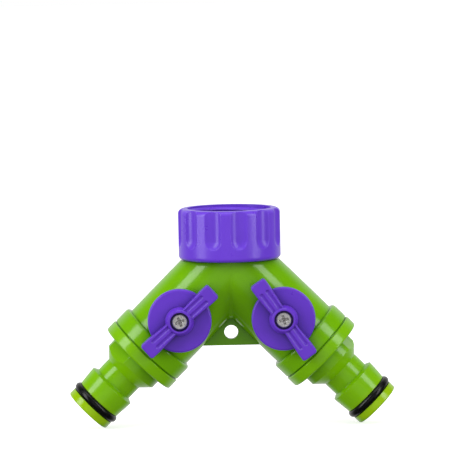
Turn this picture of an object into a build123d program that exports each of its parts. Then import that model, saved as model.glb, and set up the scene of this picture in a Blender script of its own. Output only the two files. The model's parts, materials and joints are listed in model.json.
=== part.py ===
from build123d import *
import os
from math import cos, hypot, radians, sin

# Hose splitter: a Y-shaped housing that hangs from a tap by a swivel nut and feeds two quick-connect
# tails, each through its own quarter-turn ball valve. Millimetres. The origin is on the inlet axis at the
# washer's top face, where the tap's end stops. +Z runs up the inlet, and the valve knobs face -Y.
# side is -1 for the left leg (-X) and +1 for the right leg (+X).

tolerance = 0.01          # for picking edges by place or radius

# Housing
crossing_z = -9.25        # height at which the two leg axes meet the inlet axis
leg_slope = 45            # degrees below horizontal
leg_radius = 12.0
leg_end = 38.0            # lengths along a leg are counted from the crossing
collar_start = 32.4
collar_radius = 13.35
collar_round = 1.0
seam_break = 0.3          # small edge on both sides of the seam between collar and tail
seam_gap = 0.25           # the seam is open outside seam_land
seam_land = 12.8
body_top_z = crossing_z + 1.4
valley_round = 1.3        # blend in the valley between the two legs
valley_top_z = crossing_z - 3  # the valley's edges lie below this height
saddle_bottom_z = crossing_z - 1
saddle_radius = 11.95     # just inside the legs' fronts, because surfaces that only touch don't join

web_drop = 25.8           # lower edge of the web, below the crossing
web_thick = 2.4
tie_hole_drop = 21.6
tie_hole_radius = 2.2

neck_radius = 9.4
lip_radius = 10.4
lip_bottom_z = crossing_z + 4.25
lip_top_z = crossing_z + 6.75
lip_chamfer = 0.7
inlet_bore_radius = 7.0
leg_bore_radius = 5.0
chamber_radius = 8.6      # holds the ball, its seats and the tail's spigot
chamber_start = 14.5

# Swivel nut
nut_radius = 16.1
nut_bottom_z = crossing_z + 1.75
nut_height = 16.0
nut_top_round = 1.5
nut_bottom_round = 1.2
nut_floor_thick = 2.2
nut_floor_hole = 9.7
nut_relief_radius = 13.0
thread_root_radius = 13.22  # G 3/4 internal thread, root of the thread
flute_count = 12
flute_first_angle = 10.4  # degrees from the front, towards +X
flute_depth = 1.1
flute_cutter_radius = 4.3
flute_round_z = crossing_z + 8.5  # the flute's round lower end starts here
flute_edge_round = 0.3

# Inlet washer
washer_radius = 12.6
washer_hole = 8.0

# Valve
valve_along = 23.0        # stem axis, along the leg
rest_turn = {-1: 3.3, 1: 10.0}  # degrees each handle stands past fully open, clockwise from the front
pad_radius = 8.0
pad_face = 13.0           # depths of the valve are counted forwards from the leg's axis
stem_radius = 3.5
stem_bore_radius = 3.55
shoulder_radius = 4.7
shoulder_bottom = 8.75
shoulder_top = 9.75
counterbore_radius = 5.0
counterbore_top = 10.05
stem_groove_radius = 2.6
stem_groove = (10.95, 11.95)
stem_ring_radius = 3.05
stem_ring_section = 0.42
stem_shaft_top = 13.3
drive_size = 4.8
drive_top = 15.7
tongue_thick = 2.6
tongue_width = 5.6
tongue_bottom = 6.4
tongue_top = 8.2

ball_radius = 8.0
ball_bore_radius = 4.5
slot_width = 3.0
slot_bottom = 6.0
seat_radius = 8.5
seat_cup_radius = 8.3
seat_length = 4.4

# Quarter-turn stop: a lug on the housing's pad runs in a curved groove under the knob
stop_orbit = 6.2
stop_size = 1.6
stop_top = 14.1
stop_groove_width = 2.2
stop_groove_top = 14.4
stop_slack = 10.0         # degrees of groove past the lug's middle at each end of the travel
stop_sunk = 0.5           # the lug's root inside the pad
quarter_turn = 90

# Knob
disc_radius = 10.0
disc_back = 13.4
disc_front = 15.3
disc_rim_round = 0.7
bar_length = 28.5
bar_width_middle = 4.5
bar_width_end = 5.3
bar_waist_end = 11.0      # the bar is slimmer from here to the hub
bar_back = 14.2
bar_front = 18.5
bar_corner_round = 0.8
bar_edge_round = 0.4
trough_start = 3.0        # inner end, hidden by the hub
trough_end = 10.2
trough_offset = 1.08
trough_cutter_radius = 0.85
trough_depth = 0.32
hub_base_radius = 4.5
hub_top_radius = 3.8
hub_cone_start = 16.9
hub_front = 18.9
hub_edge_round = 0.3
screw_hole_radius = 3.0
screw_seat = 16.8
socket_size = 4.95
socket_top = 15.9
screw_clear_radius = 1.5

# Knob screw
screw_head_radius = 2.4
screw_head_top = 18.0
screw_head_round = 0.35
screw_shank_radius = 1.2
screw_shank_end = 10.6
screw_pilot_radius = 1.2
cross_length = 3.0
cross_width = 0.8
cross_depth = 0.8
cross_turn = 20           # degrees from the handle
cross_pit_radius = 0.85   # round pit in the cross's middle
cross_pit_depth = 1.3
cross_pit_taper = 20

# Tail
spigot_start = 31.5
spigot_radius = 8.4
seal_groove = (33.6, 35.0)
seal_groove_radius = 7.2
seal_section = 0.66
seal_ring_radius = 7.88
flange_radius = 13.55
flange_end = 42.0
flange_round = 0.6
shoulder_cyl_radius = 9.6
shoulder_cyl_end = 45.3
tail_neck_radius = 6.6
tail_neck_start = 48.3
tail_neck_end = 53.0
barrel_start = 53.8
barrel_start_radius = 8.15
barrel_end = 59.75
barrel_end_radius = 7.68
ring_groove_radius = 5.8
tip_start = 62.45
tip_radius = 7.9
tip_end = 65.0
tip_round = 0.5
tail_bore_radius = 4.5
tail_bore_chamfer = 0.5
flat_distance = 8.4       # of the two wrench flats from the tail's axis
flat_angle = {-1: 47, 1: -75}  # of one flat from the front, turned about the leg's axis

tail_ring_section = 1.3
tail_ring_radius = 7.15

crossing = Vector(0, 0, crossing_z)
front = Vector(0, -1, 0)
side_names = {-1: "left", 1: "right"}


def leg_direction(side):
    return Vector(side * cos(radians(leg_slope)), 0, -sin(radians(leg_slope)))


def leg_axis(side):
    return Axis(crossing, leg_direction(side))


def leg_outline(side):
    """Plane of a leg's turned outlines: x runs along the leg, y away from its axis."""
    return Plane(origin=crossing, x_dir=leg_direction(side), z_dir=front)


def leg_section(side, along):
    """Plane square to a leg, with x towards the front."""
    centre = crossing + leg_direction(side) * along
    return Plane(origin=centre, x_dir=front, z_dir=leg_direction(side))


def valve_section(side, depth, turn=0):
    """Plane square to a valve's stem at a depth, with x along the handle, turned by some degrees."""
    along = leg_direction(side).rotate(Axis.Y, rest_turn[side] + turn)
    centre = crossing + leg_direction(side) * valve_along + front * depth
    return Plane(origin=centre, x_dir=along, z_dir=front)


def valve_outline(side):
    """Plane of outlines turned about a valve's stem: x runs out from the stem, y forwards."""
    along = leg_direction(side).rotate(Axis.Y, rest_turn[side])
    centre = crossing + leg_direction(side) * valve_along
    return Plane(origin=centre, x_dir=along, z_dir=along.cross(front))


def valve_axis(side):
    return Axis(crossing + leg_direction(side) * valve_along, front)


def save(part, label):
    part.label = label
    export_step(part, f"parts/{label}.step")


def make_leg_shell(side):
    """Outside of one leg with its collar and valve pad."""
    with BuildPart() as leg:
        with BuildSketch(leg_section(side, 0)):
            Circle(leg_radius)
        extrude(amount=leg_end)
        with BuildSketch(leg_outline(side)):
            with BuildLine():
                Polyline(
                    (collar_start, 0),
                    (collar_start, collar_radius - collar_round),
                )
                RadiusArc(
                    (collar_start, collar_radius - collar_round),
                    (collar_start + collar_round, collar_radius),
                    collar_round,
                )
                Polyline(
                    (collar_start + collar_round, collar_radius),
                    (leg_end - seam_break, collar_radius),
                    (leg_end, collar_radius - seam_break),
                    (leg_end, 0),
                    (collar_start, 0),
                )
            make_face()
        revolve(axis=leg_axis(side))
        with BuildSketch(valve_section(side, 0)):
            Circle(pad_radius)
        extrude(amount=pad_face)
    return leg.part


def make_leg_cavity(side):
    """Space inside one leg: water passage, ball chamber, and the stem's stepped bore."""
    with BuildPart() as cavity:
        with BuildSketch(leg_section(side, 0)):
            Circle(leg_bore_radius)
        extrude(amount=chamber_start)
        with BuildSketch(leg_section(side, chamber_start)):
            Circle(chamber_radius)
        extrude(amount=leg_end - chamber_start)
        with BuildSketch(valve_section(side, 0)):
            Circle(counterbore_radius)
        extrude(amount=counterbore_top)
        with BuildSketch(valve_section(side, 0)):
            Circle(stem_bore_radius)
        extrude(amount=pad_face)
    return cavity.part


def make_body():
    legs = {side: make_leg_shell(side) for side in side_names}
    cavities = {side: make_leg_cavity(side) for side in side_names}
    with BuildPart() as y_body:
        for side in side_names:
            add(legs[side])
        split(bisect_by=Plane.XY.offset(body_top_z), keep=Keep.BOTTOM)
        valley = [
            edge for edge in y_body.edges().filter_by(GeomType.CIRCLE, reverse=True)
            if abs(edge.center().X) < tolerance and edge.center().Z < valley_top_z
        ]
        fillet(valley, valley_round)
        # saddle: a short upright cylinder that fills the notch between the legs' upper ends
        with BuildSketch(Plane.XY.offset(saddle_bottom_z)):
            Circle(saddle_radius)
        extrude(amount=body_top_z - saddle_bottom_z)
        # web between the legs
        with BuildSketch(Plane.XZ.offset(-web_thick / 2)):
            with BuildLine():
                Polyline(
                    (0, crossing_z - leg_radius),
                    (-web_drop, crossing_z - web_drop),
                    (web_drop, crossing_z - web_drop),
                    close=True,
                )
            make_face()
        extrude(amount=web_thick)
        # neck and snap lip for the swivel nut
        with BuildSketch(Plane.XZ):
            with BuildLine():
                Polyline(
                    (0, crossing_z),
                    (neck_radius, crossing_z),
                    (neck_radius, lip_bottom_z),
                    (lip_radius, lip_bottom_z),
                    (lip_radius, lip_top_z - lip_chamfer),
                    (lip_radius - lip_chamfer, lip_top_z),
                    (0, lip_top_z),
                    close=True,
                )
            make_face()
        revolve(axis=Axis.Z)
        for side in side_names:
            add(cavities[side], mode=Mode.SUBTRACT)
        with BuildSketch(Plane.XY.offset(crossing_z)):
            Circle(inlet_bore_radius)
        extrude(amount=lip_top_z - crossing_z, mode=Mode.SUBTRACT)
        with BuildSketch(Plane.XZ.offset(-web_thick)):
            with Locations((0, crossing_z - tie_hole_drop)):
                Circle(tie_hole_radius)
        extrude(amount=2 * web_thick, mode=Mode.SUBTRACT)
        # stop lugs of the two valves, in line with the leg on its uphill side
        for side in side_names:
            with BuildSketch(valve_section(side, pad_face - stop_sunk, turn=-rest_turn[side])):
                with Locations((-stop_orbit, 0)):
                    Circle(stop_size / 2)
            extrude(amount=stop_top - pad_face + stop_sunk)
    return y_body.part


def nut_section(z):
    """Plane square to the nut at a height, with x through the middle of a land between two flutes."""
    angle = radians(flute_first_angle + 180 / flute_count - 90)
    return Plane(origin=(0, 0, z), x_dir=(cos(angle), sin(angle), 0), z_dir=(0, 0, 1))


def flute_edges(nut):
    """Sharp edges where the flutes meet the nut's outside, without the outside's own seam."""
    wall_height = nut_height - nut_top_round - nut_bottom_round
    return [
        edge for edge in nut.edges()
        if edge.geom_type != GeomType.CIRCLE
        and edge.length < wall_height - tolerance
        and hypot(edge.center().X, edge.center().Y) > nut_radius - flute_depth - tolerance
    ]


def make_nut():
    with BuildPart() as tap_nut:
        with BuildSketch(nut_section(nut_bottom_z)):
            Circle(nut_radius)
        extrude(amount=nut_height)
        fillet(tap_nut.edges().sort_by(Axis.Z)[-1], nut_top_round)
        fillet(tap_nut.edges().sort_by(Axis.Z)[0], nut_bottom_round)
        # flutes: upright scallops with a round lower end
        flute_orbit = nut_radius - flute_depth + flute_cutter_radius
        with BuildSketch(nut_section(flute_round_z)):
            with PolarLocations(flute_orbit, flute_count, start_angle=180 / flute_count):
                Circle(flute_cutter_radius)
        extrude(amount=nut_height, mode=Mode.SUBTRACT)
        with Locations(nut_section(flute_round_z).location):
            with PolarLocations(flute_orbit, flute_count, start_angle=180 / flute_count):
                # half a turn puts the sphere's own seam in the flute's middle, clear of its edges
                Sphere(flute_cutter_radius, rotation=(0, 0, 180), mode=Mode.SUBTRACT)
        fillet(flute_edges(tap_nut), flute_edge_round)
        # floor hole, relief beside the washer, and the thread's wall
        for radius, bottom_z, top_z in (
            (nut_floor_hole, nut_bottom_z, 0),
            (nut_relief_radius, nut_bottom_z + nut_floor_thick, 0),
            (thread_root_radius, 0, nut_bottom_z + nut_height),
        ):
            with BuildSketch(Plane.XY.offset(bottom_z)):
                Circle(radius)
            extrude(amount=top_z - bottom_z, mode=Mode.SUBTRACT)
    return tap_nut.part


def make_washer():
    with BuildPart() as inlet_washer:
        with BuildSketch(Plane.XY.offset(lip_top_z)):
            Circle(washer_radius)
            Circle(washer_hole, mode=Mode.SUBTRACT)
        extrude(amount=-lip_top_z)
    return inlet_washer.part


def make_tail(side):
    with BuildPart() as tail:
        with BuildSketch(leg_outline(side)):
            with BuildLine():
                Polyline(
                    (spigot_start, 0),
                    (spigot_start, spigot_radius),
                    (seal_groove[0], spigot_radius),
                    (seal_groove[0], seal_groove_radius),
                    (seal_groove[1], seal_groove_radius),
                    (seal_groove[1], spigot_radius),
                    (leg_end, spigot_radius),
                    (leg_end, seam_land),
                    (leg_end + seam_gap, seam_land),
                    (leg_end + seam_gap, flange_radius - seam_break),
                    (leg_end + seam_gap + seam_break, flange_radius),
                    (flange_end - flange_round, flange_radius),
                )
                RadiusArc(
                    (flange_end - flange_round, flange_radius),
                    (flange_end, flange_radius - flange_round),
                    flange_round,
                )
                Polyline(
                    (flange_end, flange_radius - flange_round),
                    (flange_end, shoulder_cyl_radius),
                    (shoulder_cyl_end, shoulder_cyl_radius),
                    (tail_neck_start, tail_neck_radius),
                    (tail_neck_end, tail_neck_radius),
                    (barrel_start, barrel_start_radius),
                    (barrel_end, barrel_end_radius),
                    (barrel_end, ring_groove_radius),
                    (tip_start, ring_groove_radius),
                    (tip_start, tip_radius),
                    (tip_end - tip_round, tip_radius),
                )
                RadiusArc(
                    (tip_end - tip_round, tip_radius),
                    (tip_end, tip_radius - tip_round),
                    tip_round,
                )
                Polyline((tip_end, tip_radius - tip_round), (tip_end, 0), (spigot_start, 0))
            make_face()
        revolve(axis=leg_axis(side))
        # two opposite wrench flats on the shoulder and its cone
        with BuildSketch(leg_section(side, flange_end)):
            Circle(leg_radius)
            Rectangle(2 * flat_distance, 2 * leg_radius, rotation=flat_angle[side], mode=Mode.SUBTRACT)
        extrude(amount=tail_neck_start - flange_end, mode=Mode.SUBTRACT)
        with BuildSketch(leg_section(side, spigot_start)):
            Circle(tail_bore_radius)
        extrude(amount=tip_end - spigot_start, mode=Mode.SUBTRACT)
        mouth = tail.edges().filter_by(GeomType.CIRCLE).filter_by(
            lambda edge: abs(edge.radius - tail_bore_radius) < tolerance
        ).sort_by(leg_axis(side))
        chamfer(mouth[-1], tail_bore_chamfer)
    return tail.part


def make_leg_ring(side, along, ring_radius, section_radius):
    """Ring of round section about a leg's axis."""
    with BuildPart() as ring:
        with BuildSketch(leg_outline(side)):
            with Locations((along, ring_radius)):
                Circle(section_radius)
        revolve(axis=leg_axis(side))
    return ring.part


def make_ball(side):
    with BuildPart() as ball:
        with Locations(valve_section(side, 0).location):
            Sphere(ball_radius)
        bore = Plane(origin=valve_axis(side).position, x_dir=front, z_dir=valve_section(side, 0).x_dir)
        with BuildSketch(bore):
            Circle(ball_bore_radius)
        extrude(amount=ball_radius, both=True, mode=Mode.SUBTRACT)
        with BuildSketch(valve_section(side, slot_bottom)):
            Rectangle(slot_width, 2 * ball_radius)
        extrude(amount=ball_radius, mode=Mode.SUBTRACT)
    return ball.part


def make_seat(side, outward):
    """Seat ring on one side of a ball: outward is -1 towards the inlet and +1 towards the tail."""
    far = valve_along + outward * (valve_along - chamber_start)
    with BuildPart() as seat:
        with BuildSketch(leg_section(side, far)):
            Circle(seat_radius)
            Circle(leg_bore_radius, mode=Mode.SUBTRACT)
        extrude(amount=-outward * seat_length)
        with Locations(leg_section(side, valve_along).location):
            Sphere(seat_cup_radius, mode=Mode.SUBTRACT)
    return seat.part


def make_stem(side):
    with BuildPart() as stem:
        with BuildSketch(valve_outline(side)):
            with BuildLine():
                Polyline(
                    (0, tongue_top),
                    (stem_radius, tongue_top),
                    (stem_radius, shoulder_bottom),
                    (shoulder_radius, shoulder_bottom),
                    (shoulder_radius, shoulder_top),
                    (stem_radius, shoulder_top),
                    (stem_radius, stem_groove[0]),
                    (stem_groove_radius, stem_groove[0]),
                    (stem_groove_radius, stem_groove[1]),
                    (stem_radius, stem_groove[1]),
                    (stem_radius, stem_shaft_top),
                    (0, stem_shaft_top),
                    close=True,
                )
            make_face()
        revolve(axis=valve_axis(side))
        with BuildSketch(valve_section(side, tongue_bottom)):
            Rectangle(tongue_thick, tongue_width)
        extrude(amount=tongue_top - tongue_bottom)
        with BuildSketch(valve_section(side, stem_shaft_top)):
            Rectangle(drive_size, drive_size)
        extrude(amount=drive_top - stem_shaft_top)
        with BuildSketch(valve_section(side, screw_shank_end)):
            Circle(screw_pilot_radius)
        extrude(amount=drive_top - screw_shank_end, mode=Mode.SUBTRACT)
    return stem.part


def make_stem_ring(side):
    with BuildPart() as ring:
        with BuildSketch(valve_outline(side)):
            with Locations((stem_ring_radius, sum(stem_groove) / 2)):
                Circle(stem_ring_section)
        revolve(axis=valve_axis(side))
    return ring.part


def make_knob(side):
    with BuildPart() as knob:
        with BuildSketch(valve_section(side, disc_back)):
            Circle(disc_radius)
        extrude(amount=disc_front - disc_back)
        rim = knob.faces().filter_by(GeomType.PLANE).sort_by(Axis.Y)[0].edges()
        fillet(rim, disc_rim_round)
        # bar handle, waisted towards the hub
        half = bar_length / 2
        with BuildSketch(valve_section(side, bar_back)) as bar_outline:
            with BuildLine():
                Polyline(
                    (half, bar_width_end / 2),
                    (bar_waist_end, bar_width_end / 2),
                    (hub_base_radius, bar_width_middle / 2),
                    (-hub_base_radius, bar_width_middle / 2),
                    (-bar_waist_end, bar_width_end / 2),
                    (-half, bar_width_end / 2),
                    (-half, -bar_width_end / 2),
                    (-bar_waist_end, -bar_width_end / 2),
                    (-hub_base_radius, -bar_width_middle / 2),
                    (hub_base_radius, -bar_width_middle / 2),
                    (bar_waist_end, -bar_width_end / 2),
                    (half, -bar_width_end / 2),
                    close=True,
                )
            make_face()
            corners = bar_outline.vertices().group_by(lambda corner: abs(corner.X))[-1]
            fillet(corners, bar_corner_round)
        extrude(amount=bar_front - bar_back)
        top = knob.faces().filter_by(GeomType.PLANE).sort_by(Axis.Y)[0].edges()
        fillet(top, bar_edge_round)
        # round-bottomed troughs on both halves of the bar, either side of its middle rib
        cutter_depth = bar_front - trough_depth + trough_cutter_radius
        for half_sign in (-1, 1):
            middle = valve_section(side, cutter_depth)
            starts = [
                middle.from_local_coords((half_sign * trough_start, offset, 0))
                for offset in (-trough_offset, trough_offset)
            ]
            for start in starts:
                along = middle.x_dir * half_sign
                with BuildSketch(Plane(origin=start, x_dir=front, z_dir=along)):
                    Circle(trough_cutter_radius)
                extrude(amount=trough_end - trough_start, mode=Mode.SUBTRACT)
                with Locations(start + along * (trough_end - trough_start)):
                    Sphere(trough_cutter_radius, mode=Mode.SUBTRACT)
        # hub: a low cone around the screw hole
        with BuildSketch(valve_outline(side)):
            with BuildLine():
                Polyline(
                    (0, disc_back),
                    (hub_base_radius, disc_back),
                    (hub_base_radius, hub_cone_start),
                    (hub_top_radius, hub_front - hub_edge_round),
                    (hub_top_radius - hub_edge_round, hub_front),
                    (0, hub_front),
                    close=True,
                )
            make_face()
        revolve(axis=valve_axis(side))
        # screw recess, screw hole and square socket
        for radius, back, top_depth in (
            (screw_hole_radius, screw_seat, hub_front),
            (screw_clear_radius, socket_top, screw_seat),
        ):
            with BuildSketch(valve_section(side, back)):
                Circle(radius)
            extrude(amount=top_depth - back, mode=Mode.SUBTRACT)
        with BuildSketch(valve_section(side, disc_back)):
            Rectangle(socket_size, socket_size)
        extrude(amount=socket_top - disc_back, mode=Mode.SUBTRACT)
        # curved groove that the housing's stop lug runs in
        groove_turn = quarter_turn + 2 * stop_slack
        start = valve_section(side, 0, turn=180 + stop_slack)
        outline = Plane(origin=start.origin, x_dir=start.x_dir, z_dir=start.x_dir.cross(front))
        with BuildSketch(outline):
            with Locations((stop_orbit, (disc_back + stop_groove_top) / 2)):
                Rectangle(stop_groove_width, stop_groove_top - disc_back)
        revolve(axis=valve_axis(side), revolution_arc=groove_turn, mode=Mode.SUBTRACT)
    return knob.part


def make_screw(side):
    with BuildPart() as screw:
        with BuildSketch(valve_outline(side)):
            with BuildLine():
                Polyline(
                    (0, screw_shank_end),
                    (screw_shank_radius, screw_shank_end),
                    (screw_shank_radius, screw_seat),
                    (screw_head_radius, screw_seat),
                    (screw_head_radius, screw_head_top - screw_head_round),
                )
                RadiusArc(
                    (screw_head_radius, screw_head_top - screw_head_round),
                    (screw_head_radius - screw_head_round, screw_head_top),
                    -screw_head_round,
                )
                Polyline(
                    (screw_head_radius - screw_head_round, screw_head_top),
                    (0, screw_head_top),
                    (0, screw_shank_end),
                )
            make_face()
        revolve(axis=valve_axis(side))
        # cross recess with a round pit in its middle
        with BuildSketch(valve_section(side, screw_head_top - cross_depth, turn=cross_turn)):
            Rectangle(cross_length, cross_width)
            Rectangle(cross_width, cross_length)
        extrude(amount=cross_depth, mode=Mode.SUBTRACT)
        with BuildSketch(valve_section(side, screw_head_top)):
            Circle(cross_pit_radius)
        extrude(amount=-cross_pit_depth, taper=cross_pit_taper, mode=Mode.SUBTRACT)
    return screw.part


os.makedirs("parts", exist_ok=True)
save(make_body(), "y_body")
save(make_nut(), "tap_nut")
save(make_washer(), "inlet_washer")
for side, name in side_names.items():
    save(make_tail(side), f"{name}_tail")
    ring_along = (barrel_end + tip_start) / 2
    save(make_leg_ring(side, ring_along, tail_ring_radius, tail_ring_section), f"{name}_tail_o_ring")
    seal_along = sum(seal_groove) / 2
    save(make_leg_ring(side, seal_along, seal_ring_radius, seal_section), f"{name}_spigot_seal")
    save(make_ball(side), f"{name}_ball")
    save(make_seat(side, -1), f"{name}_inner_seat")
    save(make_seat(side, 1), f"{name}_outer_seat")
    save(make_stem(side), f"{name}_stem")
    save(make_stem_ring(side), f"{name}_stem_o_ring")
    save(make_knob(side), f"{name}_knob")
    save(make_screw(side), f"{name}_knob_screw")
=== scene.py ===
import bpy
import json
import math
from mathutils import Matrix, Vector


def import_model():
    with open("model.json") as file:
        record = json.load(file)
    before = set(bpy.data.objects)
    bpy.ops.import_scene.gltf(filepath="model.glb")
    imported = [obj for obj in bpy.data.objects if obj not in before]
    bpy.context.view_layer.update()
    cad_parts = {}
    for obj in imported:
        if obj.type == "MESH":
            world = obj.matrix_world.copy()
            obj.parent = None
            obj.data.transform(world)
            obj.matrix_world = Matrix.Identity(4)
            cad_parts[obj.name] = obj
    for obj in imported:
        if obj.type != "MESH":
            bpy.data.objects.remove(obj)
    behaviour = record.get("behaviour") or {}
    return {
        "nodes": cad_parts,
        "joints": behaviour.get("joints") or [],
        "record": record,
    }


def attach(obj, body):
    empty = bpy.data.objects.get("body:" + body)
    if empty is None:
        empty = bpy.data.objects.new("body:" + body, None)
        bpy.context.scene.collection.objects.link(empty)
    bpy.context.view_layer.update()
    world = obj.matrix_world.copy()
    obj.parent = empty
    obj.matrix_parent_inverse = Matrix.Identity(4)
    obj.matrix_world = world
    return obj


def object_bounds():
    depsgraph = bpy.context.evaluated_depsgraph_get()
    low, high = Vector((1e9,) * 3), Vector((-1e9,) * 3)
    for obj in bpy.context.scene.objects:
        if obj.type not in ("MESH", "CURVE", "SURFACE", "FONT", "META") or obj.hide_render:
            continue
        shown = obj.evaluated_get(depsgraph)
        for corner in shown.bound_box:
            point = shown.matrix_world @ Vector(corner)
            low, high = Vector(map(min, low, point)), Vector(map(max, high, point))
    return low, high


# Hose splitter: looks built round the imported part. Metres, +Z up the inlet, knobs facing -Y.

MM = 0.001
SIDES = ("left", "right")

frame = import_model()
cad_low, cad_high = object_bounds()
nodes = frame["nodes"]
joints = {j["name"]: j for j in frame["joints"]}
mounts = {m["name"]: m for m in frame["record"]["mounts"]}


def stem_point(name):
    """Point on a valve's stem axis, at the leg's middle."""
    return Vector(joints[f"{name}_valve_turn"]["pos_m"])


def leg_direction(name):
    """Unit vector out along a leg, away from the inlet."""
    return Vector(mounts[f"{name}_outlet"]["axis"]).normalized()


# the two leg axes and the inlet axis meet here
crossing = stem_point("right") - leg_direction("right") * stem_point("right").x / leg_direction("right").x


# ---------------------------------------------------------------- materials

class Nodes:
    """Short ways to add nodes to one material's tree."""

    def __init__(self, name):
        """A new material; place is the object's own coordinates, in metres."""
        self.material = bpy.data.materials.new(name)
        self.material.use_nodes = True
        self.tree = self.material.node_tree
        self.shader = self.tree.nodes["Principled BSDF"]
        self.place = self.tree.nodes.new("ShaderNodeTexCoord").outputs["Object"]

    def link(self, output, target):
        self.tree.links.new(output, target)

    def set(self, **values):
        """Values of the shader's own sockets; _ stands for a space."""
        for key, value in values.items():
            self.shader.inputs[key.replace("_", " ")].default_value = value

    def mapped(self, scale=(1, 1, 1), origin=(0, 0, 0), turn=(0, 0, 0)):
        """Place measured from origin, turned and stretched."""
        node = self.tree.nodes.new("ShaderNodeMapping")
        node.vector_type = "TEXTURE"
        node.inputs["Location"].default_value = origin
        node.inputs["Rotation"].default_value = turn
        node.inputs["Scale"].default_value = scale
        self.link(self.place, node.inputs["Vector"])
        return node.outputs["Vector"]

    def noise(self, size, detail=2.0, rough=0.5, place=None):
        """Noise whose features are about size metres across, 0 to 1."""
        node = self.tree.nodes.new("ShaderNodeTexNoise")
        node.inputs["Scale"].default_value = 1 / size
        node.inputs["Detail"].default_value = detail
        node.inputs["Roughness"].default_value = rough
        self.link(place or self.place, node.inputs["Vector"])
        return node.outputs["Fac"]

    def span(self, value, low, high, to_low=0.0, to_high=1.0):
        """value from low..high to to_low..to_high, clamped."""
        node = self.tree.nodes.new("ShaderNodeMapRange")
        for key, number in (("From Min", low), ("From Max", high), ("To Min", to_low), ("To Max", to_high)):
            node.inputs[key].default_value = number
        self.link(value, node.inputs["Value"])
        return node.outputs["Result"]

    def math(self, kind, a, b):
        node = self.tree.nodes.new("ShaderNodeMath")
        node.operation = kind
        for socket, value in zip(node.inputs, (a, b)):
            if isinstance(value, (int, float)):
                socket.default_value = value
            else:
                self.link(value, socket)
        return node.outputs["Value"]

    def blend(self, share, a, b):
        """Colour a where share is 0 and b where it is 1."""
        node = self.tree.nodes.new("ShaderNodeMix")
        node.data_type = "RGBA"
        self.link(share, node.inputs["Factor"])
        for key, value in (("A", a), ("B", b)):
            socket = [s for s in node.inputs if s.name == key and s.type == "RGBA"][0]
            if isinstance(value, tuple):
                socket.default_value = (*value, 1)
            else:
                self.link(value, socket)
        return [s for s in node.outputs if s.type == "RGBA"][0]

    def occlusion(self, reach):
        """1 in the open, towards 0 in corners and recesses."""
        node = self.tree.nodes.new("ShaderNodeAmbientOcclusion")
        node.samples = 4
        node.inputs["Distance"].default_value = reach
        return node.outputs["AO"]

    def relief(self, height, depth, normal=None):
        """Bump of depth metres over the height's whole 0..1 range."""
        node = self.tree.nodes.new("ShaderNodeBump")
        node.inputs["Strength"].default_value = 1
        node.inputs["Distance"].default_value = depth
        self.link(height, node.inputs["Height"])
        if normal:
            self.link(normal, node.inputs["Normal"])
        return node.outputs["Normal"]

    def soft_edges(self, radius):
        """Normal that rounds sharp edges off."""
        node = self.tree.nodes.new("ShaderNodeBevel")
        node.samples = 4
        node.inputs["Radius"].default_value = radius
        return node.outputs["Normal"]

    def finish(self, colour=None, roughness=None, normal=None):
        """Joins what is given to the shader, and gives the material back."""
        for output, key in ((colour, "Base Color"), (roughness, "Roughness"), (normal, "Normal")):
            if output:
                self.link(output, self.shader.inputs[key])
        return self.material


# painted glow: light showing through the thin rim at a tail's end, along the leg from the crossing
RIM_START, RIM_FULL, RIM_SHARE = 58 * MM, 63.5 * MM, 0.75


def moulded_plastic(name, deep, plain, pale, roughness, peel=0.006 * MM, shade=3 * MM, tip=None):
    """Injection-moulded plastic: flow clouding, pigment specks, painted shade in corners and recesses, faint
    orange peel and rubbed patches.

    shade is how far the painted shade in corners and recesses reaches. tip is a leg's direction and a colour
    for the thin rim at its tail's end, painted as the glow of light showing through.
    """
    m = Nodes(name)
    clouds = m.span(m.noise(9 * MM, 3), 0.3, 0.7)
    specks = m.span(m.noise(0.35 * MM, 2), 0.35, 0.65)
    colour = m.blend(m.span(clouds, 0, 1, 0, 0.45), plain, pale)
    # painted glow near the tail's end, as light showing through the thin rim
    if tip:
        direction, glow = tip
        along = m.tree.nodes.new("ShaderNodeVectorMath")
        along.operation = "DOT_PRODUCT"
        m.link(m.mapped(origin=crossing), along.inputs[0])
        along.inputs[1].default_value = direction
        colour = m.blend(m.span(along.outputs["Value"], RIM_START, RIM_FULL, 0, RIM_SHARE), colour, glow)
    colour = m.blend(m.span(specks, 0, 1, 0.05, 0), colour, deep)
    # painted shade: corners, creases and recesses darken towards the deep colour
    colour = m.blend(m.span(m.occlusion(shade), 0.30, 0.85, 0.80, 0), colour, deep)
    scratches = m.noise(0.3 * MM, 2, place=m.mapped(scale=(14, 1, 14), turn=(0.4, 0.7, 0.3)))
    rubbed = m.math("ADD", m.span(m.noise(5 * MM, 4, 0.6), 0.3, 0.7, -0.03, 0.04),
                    m.span(scratches, 0.62, 0.74, 0, 0.03))
    rough = m.math("ADD", rubbed, roughness)
    normal = m.relief(m.noise(1.4 * MM, 2), peel, m.soft_edges(0.22 * MM))
    normal = m.relief(m.noise(0.12 * MM, 2), 0.0009 * MM, normal)
    m.set(IOR=1.5)
    return m.finish(colour, rough, normal)


def rubber(name, plain, dusty, roughness, grain):
    """Moulded rubber with a fine grain and paler, duller dust."""
    m = Nodes(name)
    dust = m.span(m.noise(1.1 * MM, 4, 0.65), 0.45, 0.75)
    colour = m.blend(m.span(dust, 0, 1, 0, 0.5), plain, dusty)
    rough = m.span(dust, 0, 1, roughness, roughness + 0.15)
    normal = m.relief(m.noise(0.10 * MM, 3), grain)
    m.set(IOR=1.52, Specular_IOR_Level=0.35)
    return m.finish(colour, rough, normal)


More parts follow.
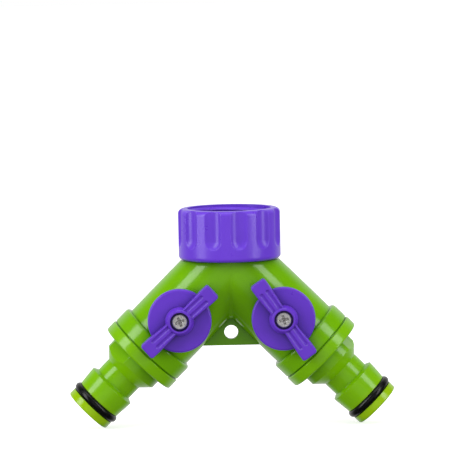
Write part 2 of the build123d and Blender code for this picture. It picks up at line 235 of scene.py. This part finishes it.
def turned_metal(name, plain, dark, roughness, axis_point, pitch):
    """Plated metal: fine turned rings about an axis along Y, pitch apart, with stains and painted shade in
    its recess.
    """
    m = Nodes(name)
    rings = m.tree.nodes.new("ShaderNodeTexWave")
    rings.wave_type, rings.rings_direction, rings.wave_profile = "RINGS", "Y", "SIN"
    # at scale 1 the texture's rings stand about 0.31 apart
    rings.inputs["Scale"].default_value = 0.31 / pitch
    rings.inputs["Distortion"].default_value = 1.5
    rings.inputs["Detail"].default_value = 2
    m.link(m.mapped(origin=axis_point), rings.inputs["Vector"])
    stains = m.span(m.noise(0.5 * MM, 4, 0.7), 0.45, 0.65)
    colour = m.blend(m.span(stains, 0, 1, 0, 0.55), plain, dark)
    # painted shade: the recess darkens towards the dark colour
    colour = m.blend(m.span(m.occlusion(0.8 * MM), 0.30, 0.85, 0.7, 0), colour, dark)
    rough = m.math("ADD", m.span(stains, 0, 1, -0.08, 0.15), roughness)
    normal = m.relief(rings.outputs["Fac"], 0.003 * MM, m.soft_edges(0.10 * MM))
    normal = m.relief(m.noise(0.55 * MM, 2), 0.05 * MM, normal)
    m.set(Metallic=0.75)
    return m.finish(colour, rough, normal)


def machined(name, plain, tint, roughness, size, metallic=0):
    """Unpainted engineering plastic or plated metal with faint tool marks and clouds of a tint."""
    m = Nodes(name)
    colour = m.blend(m.span(m.noise(size, 3), 0.3, 0.7), plain, tint)
    rough = m.span(m.noise(0.8 * MM, 3), 0.3, 0.7, roughness - 0.06, roughness + 0.08)
    normal = m.relief(m.noise(0.2 * MM, 3), 0.003 * MM, m.soft_edges(0.12 * MM))
    m.set(Metallic=metallic)
    return m.finish(colour, rough, normal)


# linear colours: painted shade in recesses and creases (also used for pigment specks), plain, and in pale
# flow clouds
LIME_DEEP, LIME, LIME_PALE = (0.036, 0.215, 0.0005), (0.166, 0.450, 0.0006), (0.198, 0.500, 0.001)
# the tails' colours are the lime painted lighter and yellower, as light showing through the tails
TAIL_DEEP, TAIL, TAIL_PALE = (0.075, 0.290, 0.0005), (0.193, 0.485, 0.0006), (0.228, 0.535, 0.001)
# painted glow of light through a tail's thin rim
TIP_GLOW = (0.340, 0.540, 0.0006)
VIOLET_DEEP, VIOLET, VIOLET_PALE = (0.024, 0.004, 0.140), (0.126, 0.032, 0.570), (0.150, 0.042, 0.630)
NUT_DEEP, NUT, NUT_PALE = (0.050, 0.012, 0.260), (0.148, 0.045, 0.690), (0.174, 0.056, 0.750)

# the housing's painted shade reaches 6 mm, darkening the crease between the legs
housing_plastic = moulded_plastic("lime_plastic", LIME_DEEP, LIME, LIME_PALE, 0.15, shade=6 * MM)
tail_plastic = {
    name: moulded_plastic(f"lime_plastic_{name}_tail", TAIL_DEEP, TAIL, TAIL_PALE, 0.17,
                          tip=(leg_direction(name), TIP_GLOW))
    for name in SIDES
}
# the nut's painted shade reaches 5 mm, darkening its flutes
nut_plastic = moulded_plastic("violet_plastic_nut", NUT_DEEP, NUT, NUT_PALE, 0.29, 0.008 * MM, shade=5 * MM)
knob_plastic = moulded_plastic("violet_plastic_knob", VIOLET_DEEP, VIOLET, VIOLET_PALE, 0.30)
ring_rubber = rubber("o_ring_rubber", (0.0035, 0.0035, 0.004), (0.009, 0.009, 0.010), 0.24, 0.001 * MM)
washer_rubber = rubber("washer_rubber", (0.018, 0.018, 0.018), (0.075, 0.073, 0.070), 0.62, 0.008 * MM)
ball_chrome = machined("ball_chrome", (0.78, 0.78, 0.80), (0.70, 0.70, 0.72), 0.12, 2 * MM, metallic=1)
seat_plastic = machined("seat_plastic", (0.84, 0.84, 0.82), (0.74, 0.75, 0.74), 0.50, 1.5 * MM)
stem_plastic = machined("stem_plastic", (0.78, 0.76, 0.68), (0.68, 0.65, 0.56), 0.42, 1.5 * MM)


def paint(node, material):
    for material_slot in nodes[node].material_slots:
        material_slot.material = material


paint("y_body", housing_plastic)
paint("tap_nut", nut_plastic)
paint("inlet_washer", washer_rubber)
for name in SIDES:
    screw_metal = turned_metal(f"{name}_screw_nickel", (0.96, 0.94, 0.92), (0.22, 0.20, 0.19), 0.30,
                               stem_point(name), 0.10 * MM)
    for part, material in {
        "tail": tail_plastic[name], "tail_o_ring": ring_rubber, "spigot_seal": ring_rubber,
        "ball": ball_chrome, "inner_seat": seat_plastic, "outer_seat": seat_plastic,
        "stem": stem_plastic, "stem_o_ring": ring_rubber, "knob": knob_plastic, "knob_screw": screw_metal,
    }.items():
        paint(f"{name}_{part}", material)


# ---------------------------------------------------------------- pieces

def mesh_piece(name, points, faces, material, body):
    """Smooth mesh that rides on a body and takes its finish from a slot."""
    mesh = bpy.data.meshes.new(name)
    mesh.from_pydata(points, [], faces)
    mesh.materials.append(material)
    mesh.shade_smooth()
    mesh.update()
    piece = bpy.data.objects.new(name, mesh)
    bpy.context.scene.collection.objects.link(piece)
    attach(piece, body)


def skin(rings):
    """Faces that join closed rings of points one to the next, with a cap at both ends."""
    count = len(rings[0])
    faces = [tuple(range(count))[::-1], tuple(range((len(rings) - 1) * count, len(rings) * count))]
    for i in range(len(rings) - 1):
        for j in range(count):
            k = (j + 1) % count
            faces.append((i * count + j, i * count + k, (i + 1) * count + k, (i + 1) * count + j))
    return [point for ring in rings for point in ring], faces


def thread_ridge():
    """Ridge of the nut's G 3/4 thread: a right-handed helix with flanks 55 degrees apart."""
    root_radius = mounts["inlet_thread"]["dims"]["r_mm"] * MM
    length = mounts["inlet_thread"]["dims"]["length_mm"] * MM
    pitch, depth = 1.814 * MM, 1.162 * MM
    crest_half, flank = 0.30 * MM, math.tan(math.radians(55 / 2))
    sunk, foot = 0.12 * MM, 0.1 * MM
    start, least_rise = 0.95 * MM, 0.05
    steps = 72
    fade = steps / 3
    count = round((length - 2 * start) / pitch * steps)
    rings = []
    for i in range(count + 1):
        angle = 2 * math.pi * i / steps
        height = start + pitch * i / steps
        grown = min(1, i / fade, (count - i) / fade)
        rise = depth * max(least_rise, math.sin(grown * math.pi / 2))
        profile = [
            (-crest_half - flank * rise - foot, -sunk),
            (-crest_half * 0.75 - flank * rise, 0.06 * rise),
            (-crest_half - flank * 0.18 * rise, 0.80 * rise),
            (-crest_half * 0.55, 0.96 * rise),
            (0, rise),
            (crest_half * 0.55, 0.96 * rise),
            (crest_half + flank * 0.18 * rise, 0.80 * rise),
            (crest_half * 0.75 + flank * rise, 0.06 * rise),
            (crest_half + flank * rise + foot, -sunk),
        ]
        rings.append([
            ((root_radius - inward) * math.cos(angle), (root_radius - inward) * math.sin(angle), height + up)
            for up, inward in profile
        ])
    points, faces = skin(rings)
    mesh_piece("nut_thread", points, faces, nut_plastic, "swivel_nut")


thread_ridge()


def parting_line(name):
    """Fine ridge left by the mould's halves, along both edges of a leg and its tail, in the legs' plane."""
    direction = leg_direction(name)
    outward = Vector((math.copysign(direction.z, direction.x), 0, abs(direction.x)))
    half_width, height, sunk = 0.14 * MM, 0.035 * MM, 0.06 * MM
    first, last, step = 13.5 * MM, 59.5 * MM, 0.3 * MM
    slim, stout, jump = 6 * MM, 13.7 * MM, 0.15 * MM
    taper, shortest, tip_width = 3, 8, 0.4
    points, faces = [], []

    def strip(run):
        """One unbroken stretch, as (place along the leg, radius) pairs, that tapers at both ends."""
        rings = []
        for i, (along, radius) in enumerate(run):
            grown = min(1, i / taper, (len(run) - 1 - i) / taper)
            width = tip_width + (1 - tip_width) * grown
            rings.append([
                crossing + direction * along + flank * (radius + up) + Vector((0, across * width, 0))
                for across, up in ((-half_width, -sunk), (-half_width / 3, height * grown),
                                   (half_width / 3, height * grown), (half_width, -sunk))
            ])
        more_points, more_faces = skin(rings)
        faces.extend(tuple(len(points) + i for i in face) for face in more_faces)
        points.extend(more_points)

    for flank in (outward, -outward):
        outside = flank * 40 * MM
        run = []
        for i in range(round((last - first) / step)):
            along = first + step * i
            start = crossing + direction * along + outside
            radii = []
            for node in ("y_body", f"{name}_tail"):
                hit, place, _, _ = nodes[node].ray_cast(start, -flank, distance=outside.length)
                if hit:
                    radii.append((place - crossing).dot(flank))
            radius = max(radii, default=0)
            broken = run and abs(radius - run[-1][1]) > jump
            if broken or not slim < radius < stout:
                if len(run) >= shortest:
                    strip(run[:-1])
                run = []
            if slim < radius < stout:
                run.append((along, radius))
        if len(run) >= shortest:
            strip(run)
    mesh_piece(f"{name}_parting_line", points, faces, housing_plastic, "housing")


for name in SIDES:
    parting_line(name)


# ---------------------------------------------------------------- stage, light and camera

def floor():
    """Large round pale floor under the tails' tips."""
    reach, rings, spokes, gap = 4.0, 12, 64, 0.2 * MM
    low = cad_low.z - gap
    points, faces = [(0, 0, low)], []
    for i in range(1, rings + 1):
        radius = reach * (i / rings) ** 2
        for j in range(spokes):
            angle = 2 * math.pi * j / spokes
            points.append((radius * math.cos(angle), radius * math.sin(angle), low))
    for j in range(spokes):
        k = (j + 1) % spokes
        faces.append((0, 1 + j, 1 + k))
        for i in range(rings - 1):
            a, b = 1 + i * spokes, 1 + (i + 1) * spokes
            faces.append((a + j, b + j, b + k, a + k))
    mesh = bpy.data.meshes.new("floor")
    mesh.from_pydata(points, [], faces)
    m = Nodes("floor_paper")
    m.set(Base_Color=(0.86, 0.86, 0.86, 1), Roughness=0.9, Specular_IOR_Level=0.1)
    m.set(Emission_Color=(1, 1, 1, 1), Emission_Strength=0.62)
    mesh.materials.append(m.finish(normal=m.relief(m.noise(0.6 * MM, 3), 0.01 * MM)))
    piece = bpy.data.objects.new("floor", mesh)
    bpy.context.scene.collection.objects.link(piece)
    piece.visible_glossy = False
    piece.visible_diffuse = False


def world():
    """White behind the object, even soft light, and a dark room with a bright back wall to reflect."""
    made = bpy.data.worlds.new("studio")
    made.use_nodes = True
    tree = made.node_tree
    path = tree.nodes.new("ShaderNodeLightPath")
    place = tree.nodes.new("ShaderNodeTexCoord")
    axes = tree.nodes.new("ShaderNodeSeparateXYZ")
    tree.links.new(place.outputs["Generated"], axes.inputs["Vector"])

    def span(value, low, high, to_low, to_high):
        node = tree.nodes.new("ShaderNodeMapRange")
        node.interpolation_type = "SMOOTHSTEP"
        for key, number in (("From Min", low), ("From Max", high), ("To Min", to_low), ("To Max", to_high)):
            node.inputs[key].default_value = number
        tree.links.new(value, node.inputs["Value"])
        return node.outputs["Result"]

    def choose(share, if_not, if_so):
        node = tree.nodes.new("ShaderNodeMix")
        node.data_type = "FLOAT"
        tree.links.new(share, node.inputs[0])
        for socket, value in zip(node.inputs[2:4], (if_not, if_so)):
            if isinstance(value, float):
                socket.default_value = value
            else:
                tree.links.new(value, socket)
        return node.outputs[0]

    soft = span(axes.outputs["Z"], -0.9, 0.9, 0.50, 0.63)
    back_wall = span(axes.outputs["Y"], 0.20, 0.85, 0.03, 0.80)
    front_glow = span(axes.outputs["Y"], -0.98, -0.82, 0.32, 0)
    mirrored = tree.nodes.new("ShaderNodeMath")
    mirrored.operation = "ADD"
    tree.links.new(back_wall, mirrored.inputs[0])
    tree.links.new(front_glow, mirrored.inputs[1])
    strength = choose(path.outputs["Is Glossy Ray"], soft, mirrored.outputs["Value"])
    strength = choose(path.outputs["Is Camera Ray"], strength, 1.0)
    tree.links.new(strength, tree.nodes["Background"].inputs["Strength"])
    tree.nodes["Background"].inputs["Color"].default_value = (1, 1, 1, 1)
    bpy.context.scene.world = made


def softbox(name, azimuth, elevation, distance, width, height, watts, roll=0.0):
    """Area light that faces the object; azimuth 0 is the front and 90 the right."""
    a, e = math.radians(azimuth), math.radians(elevation)
    towards = Vector((math.sin(a) * math.cos(e), -math.cos(a) * math.cos(e), math.sin(e)))
    light = bpy.data.lights.new(name, "AREA")
    light.shape, light.size, light.size_y, light.energy = "RECTANGLE", width, height, watts
    lamp = bpy.data.objects.new(name, light)
    lamp.rotation_mode = "QUATERNION"
    lamp.rotation_quaternion = towards.to_track_quat("Z", "Y")
    lamp.rotation_quaternion.rotate(Matrix.Rotation(math.radians(roll), 3, towards).to_quaternion())
    lamp.location = crossing + towards * distance
    bpy.context.scene.collection.objects.link(lamp)


def camera():
    """Long lens, a little above the object, with the photograph's slight roll."""
    distance, elevation, yaw, roll = 1.3, 5.0, -0.75, -1.07
    view_width, aim_left, aim_up = 142.18 * MM, 1.55 * MM, 12.2 * MM
    scene = bpy.context.scene
    data = bpy.data.cameras.new("camera")
    data.sensor_width = 36
    data.lens = data.sensor_width * distance / view_width
    data.clip_start, data.clip_end = 0.05, 20
    eye = bpy.data.objects.new("camera", data)
    a, e = math.radians(yaw), math.radians(elevation)
    back = Vector((math.sin(a) * math.cos(e), -math.cos(a) * math.cos(e), math.sin(e)))
    turn = back.to_track_quat("Z", "Y")
    turn.rotate(Matrix.Rotation(math.radians(roll), 3, back).to_quaternion())
    right, up = turn @ Vector((1, 0, 0)), turn @ Vector((0, 1, 0))
    aim = crossing - right * aim_left + up * aim_up
    eye.rotation_mode = "QUATERNION"
    eye.rotation_quaternion = turn
    eye.location = aim + back * distance
    scene.collection.objects.link(eye)
    scene.camera = eye


floor()
world()
softbox("left_box", azimuth=-62, elevation=18, distance=0.9, width=0.40, height=0.95, watts=5.1, roll=-18)
softbox("right_box", azimuth=56, elevation=18, distance=0.9, width=0.33, height=0.95, watts=3.6, roll=10)
softbox("top_box", azimuth=0, elevation=75, distance=1.0, width=0.7, height=0.6, watts=2.2)
camera()
bpy.context.scene.view_settings.view_transform = "Standard"
